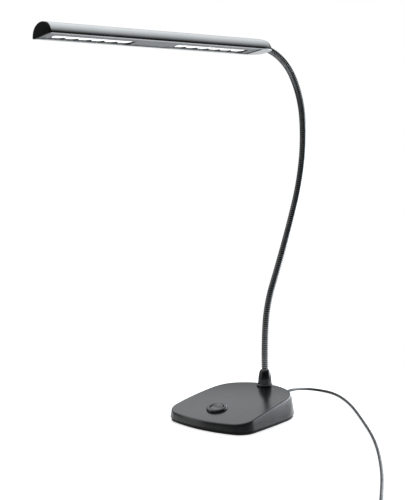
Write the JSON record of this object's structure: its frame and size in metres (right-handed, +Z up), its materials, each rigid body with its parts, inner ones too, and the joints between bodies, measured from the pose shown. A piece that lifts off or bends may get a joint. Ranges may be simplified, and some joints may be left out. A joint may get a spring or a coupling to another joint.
{
  "type": "piano lamp",
  "caption": "Piano lamp with a weighted wedge base, rocker switch, bendable gooseneck and a long D-shaped LED head.",
  "frame": {"origin": "middle of the base's flat underside, on the surface it stands on", "axes": "+Z up, -Y towards the front edge with the switch, +X to the right as seen from the front"},
  "size_m": [0.5204, 0.5077, 0.4745],
  "materials": {
    "housing_black": "satin black powder coat",
    "plate_steel": "black coated steel",
    "foot_rubber": "matte foam rubber",
    "screw_steel": "zinc plated",
    "ballast_iron": "as cast",
    "circuit_board": "green solder mask",
    "component_black": "matte",
    "switch_black": "glossy black",
    "terminal_brass": "plain",
    "collar_black": "satin black",
    "nut_steel": "zinc plated",
    "neck_black": "black oxide wound steel",
    "head_grey": "satin grey anodised",
    "cap_black": "matte black",
    "plate_grey": "satin grey anodised",
    "screw_black": "black oxide",
    "frame_dark": "satin",
    "reflector_white": "glossy white",
    "led_lens": "phosphor under clear resin",
    "relief_rubber": "matte",
    "cord_black": "matte sheath",
    "tie_black": "matte",
    "adapter_black": "fine texture",
    "prong_brass": "nickel plated"
  },
  "bodies": {
    "base": {"base_housing": "housing_black", "base_plate": "plate_steel", "foot_pad": "foot_rubber", "base_screws": "screw_steel", "base_weight": "ballast_iron", "driver_board": "circuit_board", "driver_parts": "component_black", "switch_body": "switch_black", "switch_terminals": "terminal_brass", "neck_collar": "collar_black", "collar_nut": "nut_steel", "neck_link_1": "neck_black", "strain_relief": "relief_rubber", "power_cord": "cord_black", "power_cord_end": "cord_black", "power_cord_coil": "cord_black", "cord_tie": "tie_black", "power_adapter": "adapter_black", "adapter_prongs": "prong_brass"},
    "rocker": {"switch_rocker": "switch_black"},
    "neck_2": {"neck_link_2": "neck_black"},
    "neck_3": {"neck_link_3": "neck_black"},
    "neck_4": {"neck_link_4": "neck_black"},
    "neck_5": {"neck_link_5": "neck_black"},
    "neck_6": {"neck_link_6": "neck_black"},
    "neck_7": {"neck_link_7": "neck_black"},
    "head": {"neck_link_8": "neck_black", "head_housing": "head_grey", "nose_cap": "head_grey", "end_cap": "cap_black", "head_plate": "plate_grey", "head_screws": "screw_black", "light_frame_1": "frame_dark", "light_frame_2": "frame_dark", "reflector_1": "reflector_white", "reflector_2": "reflector_white", "led_board_1": "circuit_board", "led_board_2": "circuit_board", "leds_1": "led_lens", "leds_2": "led_lens"}
  },
  "joints": [
    {"name": "switch_press", "type": "hinge", "parent": "base", "child": "rocker", "pos_m": [0, -0.03896, 0.01956], "axis": [1, 0, 0], "range_deg": [-18, 0]},
    {"name": "neck_bend_1", "type": "hinge", "parent": "base", "child": "neck_2", "pos_m": [0.00012, 0.05976, 0.10728], "axis": [0.969, -0.247, 0], "range_deg": [-20, 20]},
    {"name": "neck_swing_1", "type": "hinge", "parent": "neck_2", "child": "neck_3", "pos_m": [0.00293, 0.0708, 0.16085], "axis": [0.2306, 0.9047, -0.3584], "range_deg": [-20, 20]},
    {"name": "neck_bend_2", "type": "hinge", "parent": "neck_3", "child": "neck_4", "pos_m": [0.00763, 0.08925, 0.21245], "axis": [0.969, -0.247, 0], "range_deg": [-20, 20]},
    {"name": "neck_swing_2", "type": "hinge", "parent": "neck_4", "child": "neck_5", "pos_m": [0.01189, 0.10594, 0.26468], "axis": [0.2362, 0.9267, -0.2924], "range_deg": [-20, 20]},
    {"name": "neck_bend_3", "type": "hinge", "parent": "neck_5", "child": "neck_6", "pos_m": [0.01465, 0.11677, 0.31846], "axis": [0.969, -0.247, 0], "range_deg": [-20, 20]},
    {"name": "neck_swing_3", "type": "hinge", "parent": "neck_6", "child": "neck_7", "pos_m": [0.01471, 0.11701, 0.37335], "axis": [0.2456, 0.9637, 0.1045], "range_deg": [-20, 20]},
    {"name": "neck_bend_4", "type": "hinge", "parent": "neck_7", "child": "head", "pos_m": [0.01049, 0.10044, 0.42518], "axis": [0.969, -0.247, 0], "range_deg": [-20, 20]}
  ]
}
